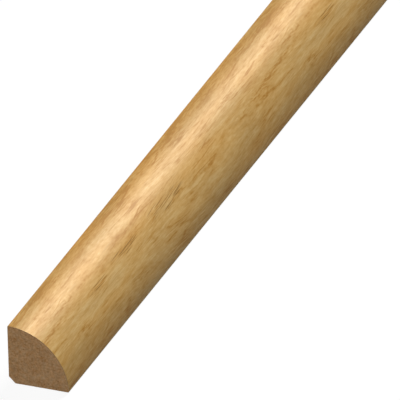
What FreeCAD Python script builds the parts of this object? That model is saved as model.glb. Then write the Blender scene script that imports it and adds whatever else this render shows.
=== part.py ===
# Quarter round floor moulding: one stick of stock, lying on the floor as it would be fitted.
#
# A fibreboard core is milled to a quarter circle and its inner corner is cut off. A thin
# printed wrap is glued over the round. The wrap turns over both milled arrises and laps a few
# millimetres onto the wall side and the floor side, flush in shallow rebates, so the middle of
# both flat sides and the two sawn ends show bare fibreboard.
#
# Frame, in millimetres: X runs along the stick, +Y is the wall side and +Z is up. The origin
# is the middle of the underside, halfway along.
import FreeCAD, Part
import enum
import math
import os
import Sketcher

SIZES = {
    "stock_length": 2387.6,  # sold as a 94 inch stick
    "face_radius": 19.05,  # 3/4 inch, both the height and the depth of the section
    "corner_chamfer": 2.0,  # cut off the corner between the wall side and the floor side
    "wrap_thickness": 0.2,
    "wall_lap": 5.0,  # how far the wrap comes down the wall side
    "floor_lap": 4.0,  # how far the wrap comes in along the floor side
    "core_arris": 0.1,  # radius on both arrises of the core, which the wrap bends over
}
WRAPPED_ARRIS = "Sizes.core_arris + Sizes.wrap_thickness"

CurvePoint = enum.IntEnum("CurvePoint", "START END CENTRE")  # as sketch constraints number them
START, END, CENTRE = CurvePoint
ORIGIN_POINT = (-1, START)  # constraints number a sketch's own x axis -1, and it starts at the origin

doc = FreeCAD.newDocument("QuarterRoundMoulding")
sheet = doc.addObject("Spreadsheet::Sheet", "Sizes")
for row, (alias, size) in enumerate(SIZES.items(), start=1):
    sheet.set(f"A{row}", alias)
    sheet.set(f"B{row}", str(size))
    sheet.setAlias(f"B{row}", alias)
doc.recompute()

# Depths and heights of the section, for drawing the sketches before they are constrained
radius, wrap = sheet.face_radius, sheet.wrap_thickness
wall_y, toe_y = radius / 2, -radius / 2
wall_lap_z, floor_lap_y = radius - sheet.wall_lap, toe_y + sheet.floor_lap
core_radius = radius - wrap
core_reach = math.sqrt(core_radius**2 - wrap**2)
CORE_ARRISES = [(wall_y - wrap, core_reach), (wall_y - core_reach, wrap)]
WRAP_ARRISES = [(wall_y, radius), (toe_y, 0)]


def section_sketch(body, name):
    """An empty sketch on the body's cross section plane: x is the depth and y the height."""
    sketch = body.newObject("Sketcher::SketchObject", name)
    plane = next(f for f in body.Origin.OriginFeatures if f.Role == "YZ_Plane")
    sketch.AttachmentSupport = [(plane, "")]
    sketch.MapMode = "FlatFace"
    return sketch


def add_line(sketch, start, end):
    ends = [FreeCAD.Vector(y, z, 0) for y, z in (start, end)]
    return sketch.addGeometry(Part.LineSegment(*ends), False)


def add_round(sketch, top, toe):
    """An arc about the section's inner corner, from the wall side's top down to the toe."""
    arms = [FreeCAD.Vector(y - wall_y, z, 0) for y, z in (top, toe)]
    circle = Part.Circle(FreeCAD.Vector(wall_y, 0, 0), FreeCAD.Vector(0, 0, 1), arms[0].Length)
    angles = [math.atan2(arm.y, arm.x) for arm in arms]
    return sketch.addGeometry(Part.ArcOfCircle(circle, *angles), False)


def square_up(sketch, level, upright):
    for side in level:
        sketch.addConstraint(Sketcher.Constraint("Horizontal", side))
    for side in upright:
        sketch.addConstraint(Sketcher.Constraint("Vertical", side))


def join(sketch, *meetings):
    """Makes ends meet, each given as side, its point, the other side, its point."""
    for meeting in meetings:
        sketch.addConstraint(Sketcher.Constraint("Coincident", *meeting))


def dimension(sketch, name, kind, where, drawn, formula):
    """A named dimension of the sketch at its drawn size, tied to the sheet by a formula."""
    position = sketch.addConstraint(Sketcher.Constraint(kind, *where, drawn))
    sketch.renameConstraint(position, name)
    sketch.setExpression(f"Constraints.{name}", formula)


def pad_full_length(body, sketch, name):
    """Runs the section along the whole stick, half of it to each side of the origin."""
    pad = body.newObject("PartDesign::Pad", name)
    pad.Profile = sketch
    pad.SideType = "Symmetric"
    pad.setExpression("Length", "Sizes.stock_length")
    doc.recompute()
    return pad


def long_edges(feature, *places):
    """Names of the straight edges along the stick that pass through these (y, z) places."""
    found = []
    for y, z in places:
        offsets = []
        for number, edge in enumerate(feature.Shape.Edges, start=1):
            ends = [vertex.Point for vertex in edge.Vertexes]
            if len(ends) == 2 and abs(ends[0].x - ends[1].x) > sheet.stock_length / 2:
                offsets.append((math.hypot(ends[0].y - y, ends[0].z - z), f"Edge{number}"))
        found.append(min(offsets)[1])
    return found


def ease_arrises(body, base, name, places, formula):
    """Rounds the long edges at these (y, z) places to the radius that the formula gives."""
    fillet = body.newObject("PartDesign::Fillet", name)
    fillet.Base = (base, long_edges(base, *places))
    fillet.setExpression("Radius", formula)
    doc.recompute()
    return fillet


def make_core():
    """The milled fibreboard: the round, two rebates for the wrap's laps and a cut corner."""
    body = doc.addObject("PartDesign::Body", "FibreboardCore")
    body.Label = "fibreboard_core"
    sketch = section_sketch(body, "CoreSection")
    wall_side = add_line(sketch, (wall_y, 0), (wall_y, wall_lap_z))
    wall_lap_end = add_line(sketch, (wall_y, wall_lap_z), (wall_y - wrap, wall_lap_z))
    wall_lap_bed = add_line(sketch, (wall_y - wrap, wall_lap_z), CORE_ARRISES[0])
    face = add_round(sketch, *CORE_ARRISES)
    floor_lap_bed = add_line(sketch, CORE_ARRISES[1], (floor_lap_y, wrap))
    floor_lap_end = add_line(sketch, (floor_lap_y, wrap), (floor_lap_y, 0))
    floor_side = add_line(sketch, (floor_lap_y, 0), (wall_y, 0))
    square_up(
        sketch,
        level=[wall_lap_end, floor_lap_bed, floor_side],
        upright=[wall_side, wall_lap_bed, floor_lap_end],
    )
    join(
        sketch,
        (wall_side, END, wall_lap_end, START),
        (wall_lap_end, END, wall_lap_bed, START),
        (wall_lap_bed, END, face, START),
        (face, END, floor_lap_bed, START),
        (floor_lap_bed, END, floor_lap_end, START),
        (floor_lap_end, END, floor_side, START),
        (floor_side, END, wall_side, START),
        (face, CENTRE, wall_side, START),
    )
    sketch.addConstraint(Sketcher.Constraint("PointOnObject", wall_side, START, -1))
    half_depth = (*ORIGIN_POINT, wall_side, START)
    bare_wall_side, bare_floor_side = wall_lap_z, wall_y - floor_lap_y
    for name, kind, where, drawn, formula in (
        ("half_depth", "DistanceX", half_depth, wall_y, "Sizes.face_radius / 2"),
        ("core_radius", "Radius", [face], core_radius, "Sizes.face_radius - Sizes.wrap_thickness"),
        ("wall_side", "Distance", [wall_side], bare_wall_side, "Sizes.face_radius - Sizes.wall_lap"),
        ("floor_side", "Distance", [floor_side], bare_floor_side, "Sizes.face_radius - Sizes.floor_lap"),
        ("wall_rebate", "Distance", [wall_lap_end], wrap, "Sizes.wrap_thickness"),
        ("floor_rebate", "Distance", [floor_lap_end], wrap, "Sizes.wrap_thickness"),
    ):
        dimension(sketch, name, kind, where, drawn, formula)
    pad = pad_full_length(body, sketch, "MilledBlank")
    eased = ease_arrises(body, pad, "EasedArrises", CORE_ARRISES, "Sizes.core_arris")
    chamfer = body.newObject("PartDesign::Chamfer", "CutCorner")
    chamfer.Base = (eased, long_edges(eased, (wall_y, 0)))
    chamfer.setExpression("Size", "Sizes.corner_chamfer")
    return body, sketch


def make_wrap():
    """The printed wrap: one thin sheet over the round, folded over both arrises."""
    body = doc.addObject("PartDesign::Body", "WoodgrainWrap")
    body.Label = "woodgrain_wrap"
    sketch = section_sketch(body, "WrapSection")
    wall_lap = add_line(sketch, (wall_y, wall_lap_z), WRAP_ARRISES[0])
    face = add_round(sketch, *WRAP_ARRISES)
    floor_lap = add_line(sketch, WRAP_ARRISES[1], (floor_lap_y, 0))
    floor_cut = add_line(sketch, (floor_lap_y, 0), (floor_lap_y, wrap))
    floor_lap_inside = add_line(sketch, (floor_lap_y, wrap), CORE_ARRISES[1])
    face_inside = add_round(sketch, *CORE_ARRISES)
    wall_lap_inside = add_line(sketch, CORE_ARRISES[0], (wall_y - wrap, wall_lap_z))
    wall_cut = add_line(sketch, (wall_y - wrap, wall_lap_z), (wall_y, wall_lap_z))
    square_up(
        sketch,
        level=[floor_lap, floor_lap_inside, wall_cut],
        upright=[wall_lap, wall_lap_inside, floor_cut],
    )
    join(
        sketch,
        (wall_lap, END, face, START),
        (face, END, floor_lap, START),
        (floor_lap, END, floor_cut, START),
        (floor_cut, END, floor_lap_inside, START),
        (floor_lap_inside, END, face_inside, END),
        (face_inside, START, wall_lap_inside, START),
        (wall_lap_inside, END, wall_cut, START),
        (wall_cut, END, wall_lap, START),
        (face, CENTRE, face_inside, CENTRE),
    )
    sketch.addConstraint(Sketcher.Constraint("PointOnObject", face, CENTRE, -1))
    sketch.addConstraint(Sketcher.Constraint("Vertical", face, CENTRE, face, START))
    sketch.addConstraint(Sketcher.Constraint("Horizontal", face, CENTRE, face, END))
    half_depth = (*ORIGIN_POINT, face, CENTRE)
    glued_radius = "Sizes.face_radius - Sizes.wrap_thickness"
    for name, kind, where, drawn, formula in (
        ("half_depth", "DistanceX", half_depth, wall_y, "Sizes.face_radius / 2"),
        ("face_radius", "Radius", [face], radius, "Sizes.face_radius"),
        ("glued_radius", "Radius", [face_inside], core_radius, glued_radius),
        ("wall_lap", "Distance", [wall_lap], sheet.wall_lap, "Sizes.wall_lap"),
        ("floor_lap", "Distance", [floor_lap], sheet.floor_lap, "Sizes.floor_lap"),
        ("wall_cut", "Distance", [wall_cut], wrap, "Sizes.wrap_thickness"),
        ("floor_cut", "Distance", [floor_cut], wrap, "Sizes.wrap_thickness"),
    ):
        dimension(sketch, name, kind, where, drawn, formula)
    pad = pad_full_length(body, sketch, "WrapSheet")
    glued = ease_arrises(body, pad, "GluedBends", CORE_ARRISES, "Sizes.core_arris")
    ease_arrises(body, glued, "OuterBends", WRAP_ARRISES, WRAPPED_ARRIS)
    return body, sketch


def check(made):
    """Stops the build if a feature failed, a sketch is loose or a piece isn't one sound solid."""
    for item in doc.Objects:
        if {"Invalid", "Error"} & set(item.State):
            raise RuntimeError(f"{item.Name} failed: {item.State}")
    for body, sketch in made:
        if sketch.solve() != 0 or sketch.FullyConstrained is False:
            raise RuntimeError(f"{sketch.Name} isn't fully constrained")
        shape = body.Shape
        if shape.isNull() or not shape.isValid() or len(shape.Solids) != 1:
            raise RuntimeError(f"{body.Label} isn't one sound solid")


pieces = [make_core(), make_wrap()]
doc.recompute()
check(pieces)
os.makedirs("parts", exist_ok=True)
for body, _ in pieces:
    body.Placement = FreeCAD.Placement()
    body.Shape.exportStep(f"parts/{body.Label}.step")
    print(f"{body.Label}: {body.Shape.Volume:.0f} mm3, {len(body.Shape.Faces)} faces")
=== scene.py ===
import math
import bpy
from mathutils import Matrix, Vector


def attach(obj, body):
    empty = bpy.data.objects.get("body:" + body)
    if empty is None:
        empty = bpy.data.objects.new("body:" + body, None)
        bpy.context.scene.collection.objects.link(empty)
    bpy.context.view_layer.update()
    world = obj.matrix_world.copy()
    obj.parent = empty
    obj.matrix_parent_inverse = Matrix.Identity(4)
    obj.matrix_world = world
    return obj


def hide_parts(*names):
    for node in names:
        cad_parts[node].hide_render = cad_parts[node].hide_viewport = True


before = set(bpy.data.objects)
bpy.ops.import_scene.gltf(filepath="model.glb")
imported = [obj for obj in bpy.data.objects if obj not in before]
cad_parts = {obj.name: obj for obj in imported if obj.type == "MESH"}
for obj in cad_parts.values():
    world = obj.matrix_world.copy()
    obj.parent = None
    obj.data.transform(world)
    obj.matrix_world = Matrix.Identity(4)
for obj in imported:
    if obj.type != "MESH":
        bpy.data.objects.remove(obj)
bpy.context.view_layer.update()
print("stage: frame loaded")

stick = {  # metres
    "Stick Length": 2.3876,
    "Face Radius": 0.01905,
    "Corner Cut": 0.002,
    "Wrap Thickness": 0.0002,
    "Wall Lap": 0.005,
    "Floor Lap": 0.004,
    "Core Arris": 0.0001,
}
sharpAngle = math.radians(32)  # a fold sharper than this is drawn as an edge
weldDistance = 0.000002
endBand = 0.00001  # points this close to an end belong to its sawn face
fullTurn = 2 * math.pi


def feed(tree, socket, value):
    if isinstance(value, bpy.types.NodeSocket):
        tree.links.new(value, socket)
    elif socket.type == "RGBA":
        socket.default_value = (*value, 1)
    else:
        socket.default_value = value


def addNode(tree, kind, inputs=None, **settings):  # gives the new node's outputs
    made = tree.nodes.new(kind)
    for name, value in settings.items():
        setattr(made, name, value)
    for name, value in (inputs or {}).items():
        feed(tree, made.inputs[name], value)
    return made.outputs


def work(tree, operation, *values):  # one step of arithmetic
    steps = dict(enumerate(values))
    return addNode(tree, "ShaderNodeMath", steps, operation=operation)[0]


def half(tree, value):
    return work(tree, "MULTIPLY", value, 0.5)


def vector(tree, x, y, z=0.0):
    return addNode(tree, "ShaderNodeCombineXYZ", {"X": x, "Y": y, "Z": z})[0]


def parts(tree, source):
    return addNode(tree, "ShaderNodeSeparateXYZ", {"Vector": source})


def noise(tree, place, detail=2.0, evenness=0.5, scale=1.0):
    inputs = {"Vector": place, "Scale": scale, "Detail": detail, "Roughness": evenness}
    return addNode(tree, "ShaderNodeTexNoise", inputs)[0]


def newShapeTree(name, sizes):
    tree = bpy.data.node_groups.new(name, "GeometryNodeTree")
    sockets = tree.interface
    for label, size in sizes.items():
        kind = "NodeSocketInt" if isinstance(size, int) else "NodeSocketFloat"
        sockets.new_socket(label, in_out="INPUT", socket_type=kind).default_value = size
    sockets.new_socket("Finish", in_out="INPUT", socket_type="NodeSocketMaterial")
    sockets.new_socket("Geometry", in_out="OUTPUT", socket_type="NodeSocketGeometry")
    return tree, tree.nodes.new("NodeGroupInput").outputs


def closeShapeTree(tree, given, blank, length, depth, height):  # moves the blank's points there
    place = {"Geometry": blank, "Position": vector(tree, length, depth, height)}
    shape = addNode(tree, "GeometryNodeSetPosition", place)[0]
    real = addNode(tree, "GeometryNodeRealizeInstances", {"Geometry": shape})[0]
    finish = {"Geometry": real, "Material": given["Finish"]}
    finished = addNode(tree, "GeometryNodeSetMaterial", finish)[0]
    tree.links.new(finished, tree.nodes.new("NodeGroupOutput").inputs[0])


def makePiece(name, tree, sizes, finish, nodeName):
    piece = bpy.data.objects.new(name, bpy.data.meshes.new(name))
    bpy.context.scene.collection.objects.link(piece)
    modifier = piece.modifiers.new("shape", "NODES")
    modifier.node_group = tree
    for item in tree.interface.items_tree:
        if item.in_out == "INPUT":
            modifier[item.identifier] = finish if item.name == "Finish" else sizes[item.name]
    evaluated = piece.evaluated_get(bpy.context.evaluated_depsgraph_get())
    mesh = bpy.data.meshes.new_from_object(evaluated)
    piece.modifiers.remove(modifier)
    piece.data = mesh
    mesh.shade_smooth()
    mesh.set_sharp_from_angle(angle=sharpAngle)
    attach(piece, "root")
    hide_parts(nodeName)
    print("stage:", name, len(mesh.polygons), "faces")


def straight(tree, start, end, cuts=0):
    ends = {"Start": vector(tree, *start), "End": vector(tree, *end)}
    line = addNode(tree, "GeometryNodeCurvePrimitiveLine", ends)[0]
    return addNode(tree, "GeometryNodeSubdivideCurve", {"Curve": line, "Cuts": cuts})[0]


def rounded(tree, centre, radius, start, sweep, steps):
    sizes = {"Resolution": steps, "Radius": radius, "Start Angle": start, "Sweep Angle": sweep}
    arc = addNode(tree, "GeometryNodeCurveArc", sizes, mode="RADIUS")[0]
    move = {"Geometry": arc, "Translation": vector(tree, *centre)}
    return addNode(tree, "GeometryNodeTransform", move)[0]


def joined(tree, curves):
    join = tree.nodes.new("GeometryNodeJoinGeometry")
    for curve in reversed(curves):  # the join takes its last link first
        tree.links.new(curve, join.inputs[0])
    return join.outputs[0]


# the section's places: depth from the stick's middle towards the wall, height from the floor
def sectionPlaces(tree, given):
    radius, wrap = given["Face Radius"], given["Wrap Thickness"]
    wall, toe = half(tree, radius), work(tree, "MULTIPLY", radius, -0.5)
    inset = work(tree, "ADD", given["Core Arris"], wrap)  # from an arris centre to its flat side
    reach = work(tree, "SUBTRACT", radius, inset)  # from the round's centre to an arris centre
    squares = [work(tree, "POWER", side, 2) for side in (reach, inset)]
    return {
        "wall": wall,
        "bed": work(tree, "SUBTRACT", wall, wrap),  # of the wrap, on the wall side
        "lapHeight": work(tree, "SUBTRACT", radius, given["Wall Lap"]),
        "lapDepth": work(tree, "ADD", toe, given["Floor Lap"]),
        "inset": inset,
        "rise": work(tree, "SQRT", work(tree, "SUBTRACT", *squares)),  # of the top arris centre
        "tilt": work(tree, "ARCSINE", work(tree, "DIVIDE", inset, reach)),
    }


# the bend under the wrap: up the wall side, over the round and in along the floor side
def bendCurves(tree, given, at):
    wrap, arris = given["Wrap Thickness"], given["Core Arris"]
    arrisSteps, cuts = given["Arris Steps"], given["Lap Cuts"]
    coreRadius = work(tree, "SUBTRACT", given["Face Radius"], wrap)
    topArris = (work(tree, "SUBTRACT", at["wall"], at["inset"]), at["rise"])
    toeArris = (work(tree, "SUBTRACT", at["wall"], at["rise"]), at["inset"])
    toeStart = work(tree, "SUBTRACT", fullTurn / 2, at["tilt"])
    arrisTurn = work(tree, "ADD", fullTurn / 4, at["tilt"])
    faceTurn = work(tree, "SUBTRACT", fullTurn / 4, work(tree, "MULTIPLY", at["tilt"], 2))
    return [
        straight(tree, (at["bed"], at["lapHeight"]), (at["bed"], at["rise"]), cuts),
        rounded(tree, topArris, arris, 0.0, arrisTurn, arrisSteps),
        rounded(tree, (at["wall"], 0.0), coreRadius, arrisTurn, faceTurn, given["Face Steps"]),
        rounded(tree, toeArris, arris, toeStart, arrisTurn, arrisSteps),
        straight(tree, (toeArris[0], wrap), (at["lapDepth"], wrap), cuts),
    ]


def sunkEnds(tree, given, length, relief):  # presses a relief into the two sawn ends
    faceFrom = work(tree, "SUBTRACT", half(tree, given["Stick Length"]), endBand)
    sawn = work(tree, "GREATER_THAN", work(tree, "ABSOLUTE", length), faceFrom)
    sunk = work(tree, "MULTIPLY", sawn, relief)
    inwards = work(tree, "MULTIPLY", work(tree, "SIGN", length), sunk)
    return work(tree, "SUBTRACT", length, inwards)


# the wrap is a flat sheet, bent over the round
wrapSheet = {
    **stick,
    "Steps Along": 14,
    "Steps Round": 640,
    "Face Steps": 96,  # of the curve that it is bent along
    "Arris Steps": 12,
    "Lap Cuts": 8,
    "Print Start": 0.00457,  # from the wall side's edge of the sheet to the top of the round
    "Saw Tear": 0.00006,  # how far the saw pulls the sheet's edge in
    "Tears per Metre": 1900.0,
}


def wrapTree():
    tree, given = newShapeTree("bentSheet", wrapSheet)
    length, radius = given["Stick Length"], given["Face Radius"]
    wrap = given["Wrap Thickness"]
    path = joined(tree, bendCurves(tree, given, sectionPlaces(tree, given)))
    width = addNode(tree, "GeometryNodeCurveLength", {"Curve": path})[0]
    sizes = {
        "Size": vector(tree, length, width, wrap),
        "Vertices X": given["Steps Along"],
        "Vertices Y": given["Steps Round"],
        "Vertices Z": 2,
    }
    sheet = addNode(tree, "GeometryNodeMeshCube", sizes)[0]
    flat = parts(tree, addNode(tree, "GeometryNodeInputPosition")[0])
    across = work(tree, "ADD", flat[1], half(tree, width))
    above = work(tree, "ADD", flat[2], half(tree, wrap))

    # the print lies on the outer face, which is longer round than the glued one
    stretch = work(tree, "DIVIDE", radius, work(tree, "SUBTRACT", radius, wrap))
    fromTop = work(tree, "SUBTRACT", across, given["Print Start"])
    fromEnd = work(tree, "ADD", flat[0], half(tree, length))
    printPlace = vector(tree, fromEnd, work(tree, "MULTIPLY", fromTop, stretch), above)
    printed = addNode(
        tree,
        "GeometryNodeStoreNamedAttribute",
        {"Geometry": sheet, "Name": "printPlace", "Value": printPlace},
        data_type="FLOAT_VECTOR",
        domain="POINT",
    )[0]

    bent = addNode(
        tree,
        "GeometryNodeSampleCurve",
        {"Curves": path, "Length": across},
        mode="LENGTH",
        use_all_curves=True,
    )
    place, along = parts(tree, bent["Position"]), parts(tree, bent["Tangent"])
    depth = work(tree, "MULTIPLY_ADD", above, along[1], place[0])
    height = work(tree, "SUBTRACT", place[1], work(tree, "MULTIPLY", above, along[0]))
    tears = noise(tree, bent["Position"], scale=given["Tears per Metre"])
    sunk = work(tree, "MULTIPLY", tears, given["Saw Tear"])
    closeShapeTree(tree, given, printed, sunkEnds(tree, given, flat[0], sunk), depth, height)
    return tree


# the core is a round blank, moulded to the section and sawn at both ends
coreBlank = {
    **stick,
    "Steps Along": 14,
    "Rings": 60,
    "Face Steps": 72,
    "Arris Steps": 6,
    "Lap Cuts": 8,
    "Side Cuts": 26,
    "Corner Cuts": 6,
    "Middle Depth": 0.003,  # where the rings of the sawn faces close
    "Middle Height": 0.0075,
    "Saw Marks": 0.00003,
    "Saw Pitch": 0.0009,
    "Saw Wavers per Metre": 160.0,
    "Axle Depth": -0.08,  # where the saw turned
    "Axle Height": 0.11,
    "Fibre Relief": 0.00008,
    "Fibres per Metre": 1500.0,
}


def coreTree():
    tree, given = newShapeTree("mouldedBlank", coreBlank)
    at = sectionPlaces(tree, given)
    wall, lapHeight, lapDepth = at["wall"], at["lapHeight"], at["lapDepth"]
    wrap, cut, sideCuts = given["Wrap Thickness"], given["Corner Cut"], given["Side Cuts"]
    cutDepth = work(tree, "SUBTRACT", wall, cut)
    outlineCurves = [
        straight(tree, (wall, cut), (wall, lapHeight), sideCuts),
        straight(tree, (wall, lapHeight), (at["bed"], lapHeight)),
        *bendCurves(tree, given, at),
        straight(tree, (lapDepth, wrap), (lapDepth, 0.0)),
        straight(tree, (lapDepth, 0.0), (cutDepth, 0.0), sideCuts),
        straight(tree, (cutDepth, 0.0), (wall, cut), given["Corner Cuts"]),
    ]
    edges = addNode(tree, "GeometryNodeCurveToMesh", {"Curve": joined(tree, outlineCurves)})[0]
    weld = {"Geometry": edges, "Distance": weldDistance}
    loop = addNode(tree, "GeometryNodeMergeByDistance", weld)[0]
    outline = addNode(tree, "GeometryNodeMeshToCurve", {"Mesh": loop})[0]
    count = addNode(
        tree, "GeometryNodeAttributeDomainSize", {"Geometry": outline}, component="CURVE"
    )["Point Count"]
    sizes = {
        "Vertices": count,
        "Side Segments": given["Steps Along"],
        "Fill Segments": given["Rings"],
        "Radius": 1.0,
        "Depth": 1.0,
    }
    blank = addNode(tree, "GeometryNodeMeshCylinder", sizes, fill_type="TRIANGLE_FAN")[0]

    # each spoke of the blank leads to one point of the outline
    spot = parts(tree, addNode(tree, "GeometryNodeInputPosition")[0])
    squares = [work(tree, "POWER", side, 2) for side in (spot[0], spot[1])]
    share = work(tree, "SQRT", work(tree, "ADD", *squares))  # 0 in the middle, 1 at the rim
    turns = work(tree, "DIVIDE", work(tree, "ARCTAN2", spot[1], spot[0]), fullTurn)
    spoke = work(tree, "ROUND", work(tree, "MULTIPLY", work(tree, "WRAP", turns, 1.0, 0.0), count))
    rim = addNode(
        tree,
        "GeometryNodeSampleIndex",
        {
            "Geometry": outline,
            "Value": addNode(tree, "GeometryNodeInputPosition")[0],
            "Index": work(tree, "MODULO", spoke, count),
        },
        data_type="FLOAT_VECTOR",
        domain="POINT",
    )[0]
    middles = (given["Middle Depth"], given["Middle Height"])
    depth, height = [
        work(tree, "MULTIPLY_ADD", work(tree, "SUBTRACT", edge, middle), share, middle)
        for edge, middle in zip(parts(tree, rim), middles)
    ]

    # raised fibres, and the round marks of a saw that wavers a little
    face = vector(tree, depth, height, spot[2])
    fibres = noise(tree, face, detail=3.0, scale=given["Fibres per Metre"])
    arm = vector(
        tree,
        work(tree, "SUBTRACT", depth, given["Axle Depth"]),
        work(tree, "SUBTRACT", height, given["Axle Height"]),
    )
    fromAxle = addNode(tree, "ShaderNodeVectorMath", {0: arm}, operation="LENGTH")["Value"]
    waver = noise(tree, face, scale=given["Saw Wavers per Metre"])
    bite = work(tree, "MULTIPLY_ADD", waver, given["Saw Pitch"], fromAxle)
    marks = work(tree, "PINGPONG", work(tree, "DIVIDE", bite, given["Saw Pitch"]), 1.0)
    sunk = work(
        tree,
        "ADD",
        work(tree, "MULTIPLY", fibres, given["Fibre Relief"]),
        work(tree, "MULTIPLY", marks, given["Saw Marks"]),
    )
    length = work(tree, "MULTIPLY", spot[2], given["Stick Length"])
    closeShapeTree(tree, given, blank, sunkEnds(tree, given, length, sunk), depth, height)
    return tree


def newFinish(name):
    material = bpy.data.materials.new(name)
    material.use_nodes = True
    tree = material.node_tree
    return material, tree, tree.nodes["Principled BSDF"]


def closeFinish(tree, shader, look, colour, tone, height):  # a higher tone is paler
    bump = {"Strength": 1.0, "Distance": look["relief"], "Height": height}
    values = {
        "Base Color": colour,
        "Roughness": work(tree, "MULTIPLY_ADD", tone, look["paleRoughness"], look["roughness"]),
        "Specular IOR Level": look["shine"],
        "Metallic": look["satin"],
        "Normal": addNode(tree, "ShaderNodeBump", bump)[0],
    }
    for name, value in values.items():
        feed(tree, shader.inputs[name], value)


def colours(tree, level, stops):
    made = tree.nodes.new("ShaderNodeValToRGB")
    elements = made.color_ramp.elements
    while len(elements) < len(stops):
        elements.new(0.5)
    for element, (position, colour) in zip(elements, stops):
        element.position = position
        element.color = (*colour, 1)
    feed(tree, made.inputs["Fac"], level)
    return made.outputs["Color"]


def mixed(tree, share, first, second, blend="MIX"):
    inputs = {"Factor": share, 6: first, 7: second}  # 6 and 7 are its two colours
    return addNode(tree, "ShaderNodeMix", inputs, data_type="RGBA", blend_type=blend)[2]


def scaled(tree, place, size):
    inputs = {0: place, 1: [1 / part for part in size]}
    return addNode(tree, "ShaderNodeVectorMath", inputs, operation="MULTIPLY")[0]


fibreboardFinish = {
    "tones": [
        (0.375, (0.44, 0.224, 0.086)),
        (0.50, (0.565, 0.324, 0.152)),
        (0.645, (0.68, 0.424, 0.225)),
    ],
    "tints": [(0.35, (1.0, 0.965, 0.89)), (0.65, (0.91, 0.955, 1.0))],  # from red to grey
    "tintSize": 0.0012,
    "fleck": (0.25, 0.125, 0.053),
    "fleckSpacing": 0.0011,  # size of a cell, which holds one fleck at most
    "fleckShare": 0.14,  # of the cells that hold one
    "fleckRadius": 0.24,  # in cells
    "fleckStrength": 0.55,
    "roughness": 0.75,
    "paleRoughness": 0.2,
    "shine": 0.2,
    "satin": 0.0,
    "relief": 0.00006,
}
# size along, across and up, detail, evenness, and share of the tone
boardLayers = {
    "fibres": ((0.0007, 0.0007, 0.00056), 3.0, 0.62, 0.62),
    "clouds": ((0.016, 0.004, 0.0024), 2.0, 0.5, 0.22),
    "moulder's lines": ((0.05, 0.0005, 0.0005), 2.0, 0.5, 0.16),
}


def fibreboard():
    material, tree, shader = newFinish("fibreboard")
    look = fibreboardFinish
    place = tree.nodes.new("ShaderNodeTexCoord").outputs["Object"]
    layers, level = {}, 0.0
    for name, (size, detail, evenness, share) in boardLayers.items():
        layers[name] = noise(tree, scaled(tree, place, size), detail, evenness)
        level = work(tree, "MULTIPLY_ADD", layers[name], share, level)
    hue = noise(tree, scaled(tree, place, [look["tintSize"]] * 3))
    tint = colours(tree, hue, look["tints"])
    board = mixed(tree, 1.0, colours(tree, level, look["tones"]), tint, "MULTIPLY")

    inputs = {"Vector": scaled(tree, place, [look["fleckSpacing"]] * 3), "Scale": 1.0}
    cells = addNode(tree, "ShaderNodeTexVoronoi", inputs)
    draw = parts(tree, cells["Color"])[0]
    chosen = work(tree, "GREATER_THAN", draw, 1 - look["fleckShare"])
    near = work(tree, "LESS_THAN", cells["Distance"], look["fleckRadius"])
    fleck = work(tree, "MULTIPLY", work(tree, "MULTIPLY", chosen, near), look["fleckStrength"])
    board = mixed(tree, fleck, board, look["fleck"])
    closeFinish(tree, shader, look, board, layers["fibres"], level)
    return material


printFinish = {
    "repeat": 0.1742,  # the print comes round again, this far along the stick
    "repeatRise": 0.0016,  # and this much further round
    "tones": [
        (0.0, (0.316, 0.150, 0.031)),
        (0.2, (0.339, 0.167, 0.037)),
        (0.4, (0.389, 0.209, 0.056)),
        (0.6, (0.434, 0.252, 0.080)),
        (0.8, (0.470, 0.288, 0.104)),
        (1.0, (0.508, 0.330, 0.133)),
    ],
    "contrast": 0.8,
    "paleness": 0.2,
    "tints": [(0.3, (0.915, 0.96, 1.0)), (0.7, (1.0, 0.99, 0.91))],  # from cool to warm
    "streaks": {"figure": 1.5, "bands": 0.35, "fibres": 1.15},
    "wander": 0.0014,  # how far the streaks stray round the stick
    "leanStart": 0.085,  # along the stick, where they lean most steeply
    "growthLines": 2.2,  # how dark the thin lines are
    "lineSharpness": 20.0,
    "raggedness": 0.004,  # how far the figure moves a mark's sides
    "markStrength": 0.8,
    "figureInMarks": 2.5,
    "fibresInMarks": 3.5,
    "pore": (0.19, 0.096, 0.022),
    "pores": 0.70,  # how dark they are, and how much darker in a cluster
    "clusterPores": 3.8,
    "clusterShade": 0.05,
    "darkestPore": 0.85,
    "paper": (0.42, 0.26, 0.13),
    "printedFrom": 0.93,  # of the wrap's thickness, and bare paper below
    "roughness": 0.44,
    "paleRoughness": -0.04,
    "shine": 0.031,
    "satin": 0.028,  # share of the gloss that takes the print's own colour
    "relief": 0.000003,
}
# size along and round, detail, evenness, where the noise starts, and its height taken as 0
printNoises = {
    "figure": (0.013, 0.0012, 4.0, 0.55, 0.0, 0.5),
    "bands": (0.060, 0.0050, 1.0, 0.55, 10.0, 0.5),
    "fibres": (0.0024, 0.00036, 2.0, 0.55, 20.0, 0.5),
    "wander": (0.025, 0.005, 1.0, 0.5, 3.0, 0.5),
    "growthLines": (0.022, 0.0017, 2.0, 0.45, 71.0, 0.5),
    "growthPatches": (0.020, 0.0045, 1.0, 0.5, 83.0, 0.42),
    "tints": (0.030, 0.006, 1.0, 0.5, 41.0, 0.0),
    "pores": (0.009, 0.00030, 1.0, 0.5, 191.1, 0.52),
}
# how the streaks lean, as a slope, at some places round from the top
streakLean = {0.0: 0.01, 0.005: 0.03, 0.0125: -0.045, 0.0195: 0.05, 0.0245: 0.07, 0.030: 0.06}
# painted light and shade: how much paler the print is drawn there, and darker below 0, following
# how the light falls across the round all along the stick
paintedLightAndShade = {
    0.0: -0.32,
    0.0025: -0.21,
    0.005: 0.0,
    0.010: 0.0,
    0.0165: 0.24,
    0.0205: 0.17,
    0.0265: 0.07,
    0.030: 0.10,
}
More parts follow.
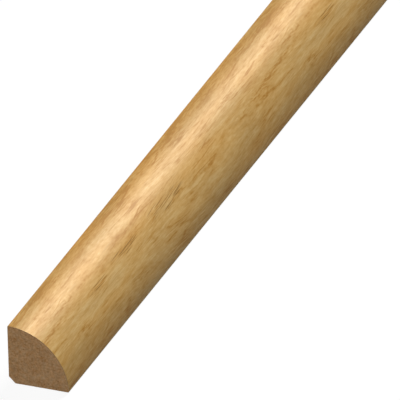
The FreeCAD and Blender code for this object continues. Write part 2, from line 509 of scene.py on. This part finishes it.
# dark marks: place along and round, half length, half width, slope, strength
darkMarks = {
    "top streak": (0.017, 0.0015, 0.008, 0.0009, 0.02, 0.32),
    "second streak": (0.030, 0.0025, 0.007, 0.0008, 0.05, 0.29),
    "near fleck": (0.0085, 0.0057, 0.004, 0.0006, 0.02, 0.42),
    "near line": (0.018, 0.0070, 0.007, 0.0006, 0.03, 0.35),
    "near double line": (0.023, 0.0098, 0.008, 0.0009, -0.04, 0.38),
    "middle line": (0.035, 0.0097, 0.007, 0.0006, -0.05, 0.35),
    "knot shade": (0.0215, 0.0188, 0.005, 0.0016, 0.08, 0.48),
    "small knot": (0.034, 0.0206, 0.004, 0.0008, 0.06, 0.45),
    "toe shade": (0.060, 0.0225, 0.009, 0.0013, 0.12, 0.42),
    "far streak": (0.110, 0.0032, 0.006, 0.0007, 0.06, 0.50),
    "far top streak": (0.125, 0.0014, 0.006, 0.0007, 0.03, 0.36),
    "far double streak": (0.120, 0.0047, 0.010, 0.0009, 0.07, 0.38),
    "side patch": (0.150, 0.0088, 0.009, 0.0016, -0.02, 0.42),
    "side line": (0.128, 0.0117, 0.010, 0.0008, -0.04, 0.32),
    "long band": (0.168, 0.0143, 0.030, 0.0010, -0.06, 0.55),
    "lower edge of the long band": (0.164, 0.0168, 0.014, 0.0007, -0.03, 0.35),
    "low patch": (0.119, 0.0172, 0.008, 0.0012, 0.03, 0.38),
}
# clusters of pores, in the same way
poreMarks = {
    "first pores": (0.039, 0.0139, 0.008, 0.0012, -0.02, 3.5),
    "middle pores": (0.063, 0.0132, 0.013, 0.0014, 0.00, 5.0),
    "far pores": (0.092, 0.0138, 0.014, 0.0019, 0.03, 4.0),
}


# soft ovals, added up, each once in a repeat of the print
def marked(tree, along, around, marks):
    total = 0.0
    repeat = printFinish["repeat"]
    for middle, down, halfLength, halfWidth, slope, strength in marks.values():
        rise = printFinish["repeatRise"] * middle / repeat
        offset = work(tree, "SUBTRACT", along, middle)
        nearest = work(tree, "WRAP", offset, repeat / 2, -repeat / 2)
        inputs = {
            "Vector": vector(tree, nearest, around),
            "Location": (0, down - rise, 0),
            "Rotation": (0, 0, math.atan(slope)),
            "Scale": (halfLength, halfWidth, 1),
        }
        place = {"Vector": addNode(tree, "ShaderNodeMapping", inputs, vector_type="TEXTURE")[0]}
        oval = addNode(tree, "ShaderNodeTexGradient", place, gradient_type="SPHERICAL")["Fac"]
        total = work(tree, "MULTIPLY_ADD", oval, strength, total)
    return total


# a smooth curve through heights at some places, mirrored at 0
def curved(tree, place, heights):
    made = tree.nodes.new("ShaderNodeFloatCurve")
    points = made.mapping.curves[0].points
    span = max(heights)
    first, *between, last = [(spot / span, 0.5 + height) for spot, height in heights.items()]
    points[0].location, points[1].location = first, last
    for spot in between:
        points.new(*spot)
    made.mapping.extend = "HORIZONTAL"
    made.mapping.update()
    feed(tree, made.inputs["Value"], work(tree, "DIVIDE", work(tree, "ABSOLUTE", place), span))
    return work(tree, "SUBTRACT", made.outputs[0], 0.5)


def woodgrainPrint():
    material, tree, shader = newFinish("woodgrainPrint")
    look = printFinish
    repeat = look["repeat"]
    place = addNode(tree, "ShaderNodeAttribute", attribute_name="printPlace")["Vector"]
    along, around, height = parts(tree, place)
    around = work(tree, "MULTIPLY_ADD", along, -look["repeatRise"] / repeat, around)

    # the noises are read off a drum, once round which is one repeat
    turn = work(tree, "MULTIPLY", along, fullTurn / repeat)
    drum = repeat / fullTurn

    def drumNoise(name, where):
        alongSize, aroundSize, detail, evenness, start, zero = printNoises[name]
        east = work(tree, "MULTIPLY", work(tree, "COSINE", turn), drum / alongSize)
        north = work(tree, "MULTIPLY", work(tree, "SINE", turn), drum / alongSize)
        up = work(tree, "MULTIPLY_ADD", where, 1 / aroundSize, start)
        drawn = noise(tree, vector(tree, east, north, up), detail, evenness)
        return work(tree, "SUBTRACT", drawn, zero)

    # the streaks lean to and fro round the stick, and wander a little
    swing = work(tree, "SINE", work(tree, "ADD", turn, -fullTurn * look["leanStart"] / repeat))
    lean = work(tree, "MULTIPLY", swing, curved(tree, around, streakLean))
    leaning = work(tree, "ADD", around, work(tree, "MULTIPLY", lean, -drum))
    flow = work(tree, "MULTIPLY_ADD", drumNoise("wander", around), look["wander"], leaning)

    # the level is 0 in deep print, 0.5 in its ground and 1 in the palest, and starts from painted
    # light and shade round the stick
    level = work(tree, "ADD", curved(tree, around, paintedLightAndShade), 0.5)
    streaks = {}
    for name, strength in look["streaks"].items():
        streaks[name] = drumNoise(name, flow)
        level = work(tree, "MULTIPLY_ADD", streaks[name], strength, level)

    # thin growth lines, clear in some patches and lost in others
    ridge = work(tree, "ABSOLUTE", drumNoise("growthLines", flow))
    line = work(tree, "MULTIPLY_ADD", ridge, -look["lineSharpness"], 1.0)
    patches = drumNoise("growthPatches", flow)
    line = work(tree, "MULTIPLY", work(tree, "MAXIMUM", line, 0.0), patches)
    line = work(tree, "MAXIMUM", line, 0.0)
    level = work(tree, "MULTIPLY_ADD", line, -look["growthLines"], level)

    # the marks take their ragged sides from the figure, and are streaked like the rest
    ragged = work(tree, "MULTIPLY_ADD", streaks["figure"], look["raggedness"], around)
    streaked = look["markStrength"]
    for name, strength in (("figure", look["figureInMarks"]), ("fibres", look["fibresInMarks"])):
        streaked = work(tree, "MULTIPLY_ADD", streaks[name], -strength, streaked)
    cluster = marked(tree, along, ragged, poreMarks)
    shade = work(tree, "MULTIPLY", marked(tree, along, ragged, darkMarks), streaked)
    level = work(tree, "SUBTRACT", level, shade)
    level = work(tree, "MULTIPLY_ADD", cluster, -look["clusterShade"], level)
    tone = work(tree, "MULTIPLY_ADD", level, look["contrast"], look["paleness"])
    tint = colours(tree, drumNoise("tints", flow), look["tints"])
    grain = mixed(tree, 1.0, colours(tree, tone, look["tones"]), tint, "MULTIPLY")

    # short dark pores, thick in the clusters and faint elsewhere
    depth = work(tree, "MULTIPLY_ADD", cluster, look["clusterPores"], look["pores"])
    pores = work(tree, "MULTIPLY", drumNoise("pores", leaning), depth)
    pores = work(tree, "MINIMUM", work(tree, "MAXIMUM", pores, 0.0), look["darkestPore"])
    printed = mixed(tree, pores, grain, look["pore"])
    inkLevel = stick["Wrap Thickness"] * look["printedFrom"]
    outside = work(tree, "GREATER_THAN", height, inkLevel)
    surface = mixed(tree, outside, look["paper"], printed)
    closeFinish(tree, shader, look, surface, level, work(tree, "SUBTRACT", level, pores))
    return material


makePiece(
    "fibreboardCore", coreTree(), coreBlank, fibreboard(), "fibreboard_core"
)
makePiece(
    "woodgrainWrap", wrapTree(), wrapSheet, woodgrainPrint(), "woodgrain_wrap"
)

view = {
    "azimuth": -66.892,
    "elevation": 29.391,
    "roll": -1.938,
    "width": 0.11775,  # metres across the frame
    "cornerRight": 0.05621,  # the frame's middle from the near end's inner corner
    "cornerUp": 0.05367,
    "distance": 1.5,
    "clip": (0.01, 20),
}


def makeCamera():
    azimuth, elevation, roll = [
        math.radians(view[name]) for name in ("azimuth", "elevation", "roll")
    ]
    flat = math.cos(elevation)
    back = Vector((math.sin(azimuth) * flat, -math.cos(azimuth) * flat, math.sin(elevation)))
    level = Vector((0, 0, 1)).cross(back).normalized()
    upright = back.cross(level)
    right = math.cos(roll) * level + math.sin(roll) * upright
    up = back.cross(right)
    corner = Vector((-stick["Stick Length"] / 2, stick["Face Radius"] / 2, 0))
    aim = corner + view["cornerRight"] * right + view["cornerUp"] * up
    place = aim + view["distance"] * back
    data = bpy.data.cameras.new("camera")
    data.type = "ORTHO"
    data.ortho_scale = view["width"]
    data.clip_start, data.clip_end = view["clip"]
    camera = bpy.data.objects.new("camera", data)
    camera.matrix_world = Matrix([*zip(right, up, back, place), (0, 0, 0, 1)])
    bpy.context.scene.collection.objects.link(camera)
    bpy.context.scene.camera = camera


def paleLight(tree):  # 1 where the camera, a shine or clear stuff looks at it
    path = tree.nodes.new("ShaderNodeLightPath").outputs
    seen = work(tree, "MAXIMUM", path["Is Camera Ray"], path["Is Glossy Ray"])
    return work(tree, "MAXIMUM", seen, path["Is Transmission Ray"])


studio = {
    "floorSize": 8.0,
    "floorDrop": 0.0002,  # below the stick
    "floorColour": (0.85, 0.85, 0.85),
    "floorBounce": (0.07, 0.07, 0.07),  # colour of the light that it throws back on the stick
    "floorWhiteness": 0.93,  # how much of the floor's look is plain white
    "sky": 0.05,
}
# lamps: strength, where the light comes from, and how wide it is in degrees
lamps = {
    "key": (6.1, (0.80, -0.094, 0.591), 18),
    "fill": (1.39, (-0.94, -0.17, 0.30), 60),
    "back": (2.2, (0.10, 0.99, 0.05), 20),
}


def makeFloor():
    reach, level = studio["floorSize"] / 2, -studio["floorDrop"]
    mesh = bpy.data.meshes.new("floor")
    signs = ((-1, -1), (1, -1), (1, 1), (-1, 1))
    mesh.from_pydata([(x * reach, y * reach, level) for x, y in signs], [], [(0, 1, 2, 3)])
    floor = bpy.data.objects.new("floor", mesh)
    bpy.context.scene.collection.objects.link(floor)
    material = bpy.data.materials.new("floor")
    material.use_nodes = True
    tree = material.node_tree
    tree.nodes.clear()
    matt, bounce = [
        addNode(tree, "ShaderNodeBsdfDiffuse", {"Color": studio[name]})[0]
        for name in ("floorColour", "floorBounce")
    ]
    white = addNode(tree, "ShaderNodeEmission", {"Strength": 1.0})[0]
    seen = {0: studio["floorWhiteness"], 1: matt, 2: white}
    look = {0: paleLight(tree), 1: bounce, 2: addNode(tree, "ShaderNodeMixShader", seen)[0]}
    surface = addNode(tree, "ShaderNodeMixShader", look)[0]
    feed(tree, tree.nodes.new("ShaderNodeOutputMaterial").inputs["Surface"], surface)
    mesh.materials.append(material)


def makeLight():
    world = bpy.data.worlds.new("studio")
    bpy.context.scene.world = world
    world.use_nodes = True
    tree = world.node_tree
    background = tree.nodes["Background"].inputs
    feed(tree, background["Color"], (1, 1, 1))
    sky = studio["sky"]
    feed(tree, background["Strength"], work(tree, "MULTIPLY_ADD", paleLight(tree), 1 - sky, sky))
    for name, (strength, source, spread) in lamps.items():
        lamp = bpy.data.lights.new(name, "SUN")
        lamp.energy = strength
        lamp.angle = math.radians(spread)
        sun = bpy.data.objects.new(name, lamp)
        sun.location = source
        sun.rotation_euler = Vector(source).to_track_quat("Z", "Y").to_euler()
        bpy.context.scene.collection.objects.link(sun)


makeCamera()
makeFloor()
makeLight()
bpy.context.scene.view_settings.view_transform = "Standard"
print("stage: camera, floor and light")
